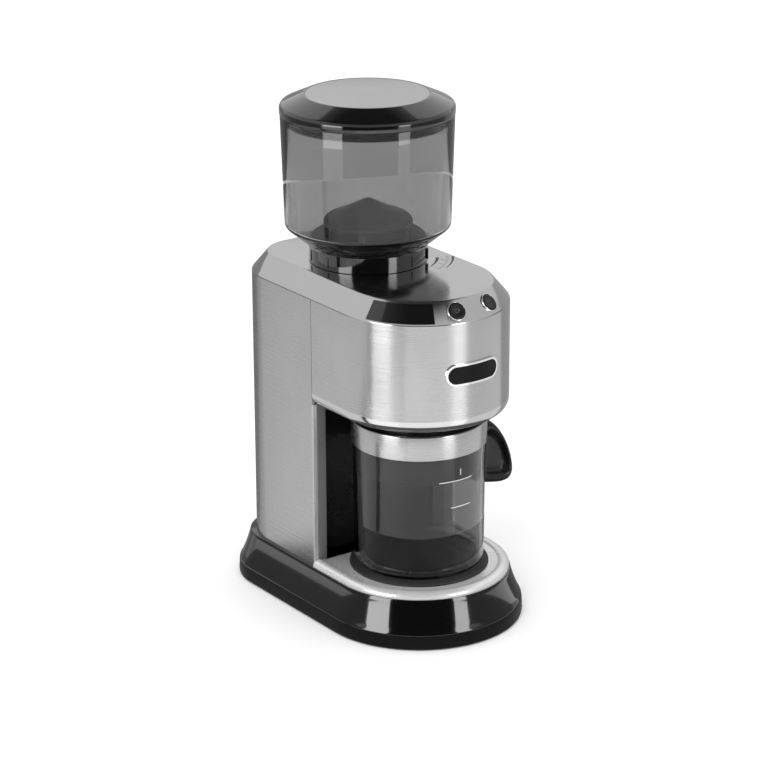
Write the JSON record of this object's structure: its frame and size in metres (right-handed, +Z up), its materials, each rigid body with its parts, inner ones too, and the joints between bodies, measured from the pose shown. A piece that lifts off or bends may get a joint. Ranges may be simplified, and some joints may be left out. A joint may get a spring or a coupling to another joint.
{
  "type": "coffee grinder",
  "caption": "Upright conical-burr coffee grinder with a clear bean hopper, metal half-round head on a rear column and a clear grounds jar that slides out.",
  "frame": {"origin": "on the floor under the middle of the machine's bounding box", "axes": "+Z up, front faces -Y, +X to the machine's left-hand side as seen from behind (right as seen from the front)"},
  "size_m": [0.155, 0.24, 0.385],
  "materials": {
    "gloss_black": "glossy",
    "matte_black": "satin",
    "brushed": "brushed",
    "bright": "polished",
    "rubber": "matte",
    "smoke": "smoked clear",
    "black_glass": "glossy",
    "burr_steel": "ground",
    "brass": "plain",
    "board": "matte",
    "white": "matte",
    "sheet": "plain",
    "silver": "satin"
  },
  "bodies": {
    "housing": {"base_skirt": "gloss_black", "base_tray": "brushed", "bottom_plate": "matte_black", "rubber_feet": "rubber", "base_screws": "bright", "jar_mat": "rubber", "rear_shell": "silver", "column_frame": "silver", "column_liner": "matte_black", "head_wrap": "brushed", "head_bezel": "bright", "head_underside": "matte_black", "top_deck": "bright", "display_window": "black_glass", "display_module": "board", "control_board": "board", "button_rings": "bright", "badge_rim": "bright", "badge_plate": "gloss_black", "chute": "matte_black", "chute_ring": "bright", "grinding_chamber": "matte_black", "chassis": "sheet", "motor_mounts": "rubber", "gearbox_base": "matte_black", "gearbox_cover": "matte_black", "shaft_bearings": "bright", "motor_can": "sheet", "motor_magnets": "burr_steel", "motor_bearings": "bright", "power_board": "board", "jar_switch": "matte_black", "cord_gland": "matte_black"},
    "grind_collar": {"adjust_collar": "gloss_black"},
    "burr_carriage": {"burr_carrier": "brass", "upper_burr": "burr_steel"},
    "burr_rotor": {"lower_burr": "burr_steel", "burr_shaft": "bright", "gear_wheel": "white", "ejector_disc": "white"},
    "motor_rotor": {"motor_shaft": "bright", "pinion": "brass", "armature": "burr_steel", "cooling_fan": "white"},
    "bean_hopper": {"hopper": "smoke", "bean_guard": "matte_black"},
    "lid": {"hopper_lid": "gloss_black", "lid_disc": "brushed", "lid_seal": "rubber"},
    "start_button": {"button_left": "gloss_black"},
    "amount_button": {"button_right": "gloss_black"},
    "grounds_jar": {"jar": "smoke", "jar_ring": "brushed", "jar_lid": "matte_black", "jar_handle": "gloss_black"}
  },
  "joints": [
    {"name": "grind_adjust", "type": "hinge", "parent": "housing", "child": "grind_collar", "pos_m": [0, 0.021, 0.266], "axis": [0, 0, 1], "range_deg": [-60, 60]},
    {"name": "burr_travel", "type": "slide", "parent": "housing", "child": "burr_carriage", "axis": [0, 0, 1], "range_m": [-0.0011, 0.0011]},
    {"name": "hopper_lift", "type": "slide", "parent": "grind_collar", "child": "bean_hopper", "axis": [0, 0, 1], "range_m": [0, 0.12]},
    {"name": "lid_lift", "type": "slide", "parent": "bean_hopper", "child": "lid", "axis": [0, 0, 1], "range_m": [0, 0.1]},
    {"name": "burr_spin", "type": "hinge", "parent": "housing", "child": "burr_rotor", "pos_m": [0, 0.021, 0.2], "axis": [0, 0, 1], "continuous": true},
    {"name": "motor_spin", "type": "hinge", "parent": "housing", "child": "motor_rotor", "pos_m": [0, 0.053, 0.15], "axis": [0, 0, 1], "continuous": true},
    {"name": "start_press", "type": "slide", "parent": "housing", "child": "start_button", "axis": [-0.1396, -0.7683, 0.6247], "range_m": [-0.001, 0], "stiffness_N_per_m": 400},
    {"name": "amount_press", "type": "slide", "parent": "housing", "child": "amount_button", "axis": [0.2568, -0.7374, 0.6247], "range_m": [-0.001, 0], "stiffness_N_per_m": 400},
    {"name": "jar_slide", "type": "slide", "parent": "housing", "child": "grounds_jar", "axis": [0, -1, 0], "range_m": [0, 0.17]}
  ],
  "couplings": [
    {"joint": "burr_travel", "follows": "grind_adjust", "m_per_rad": 0.00105},
    {"joint": "motor_spin", "follows": "burr_spin", "ratio": -3.5714}
  ]
}
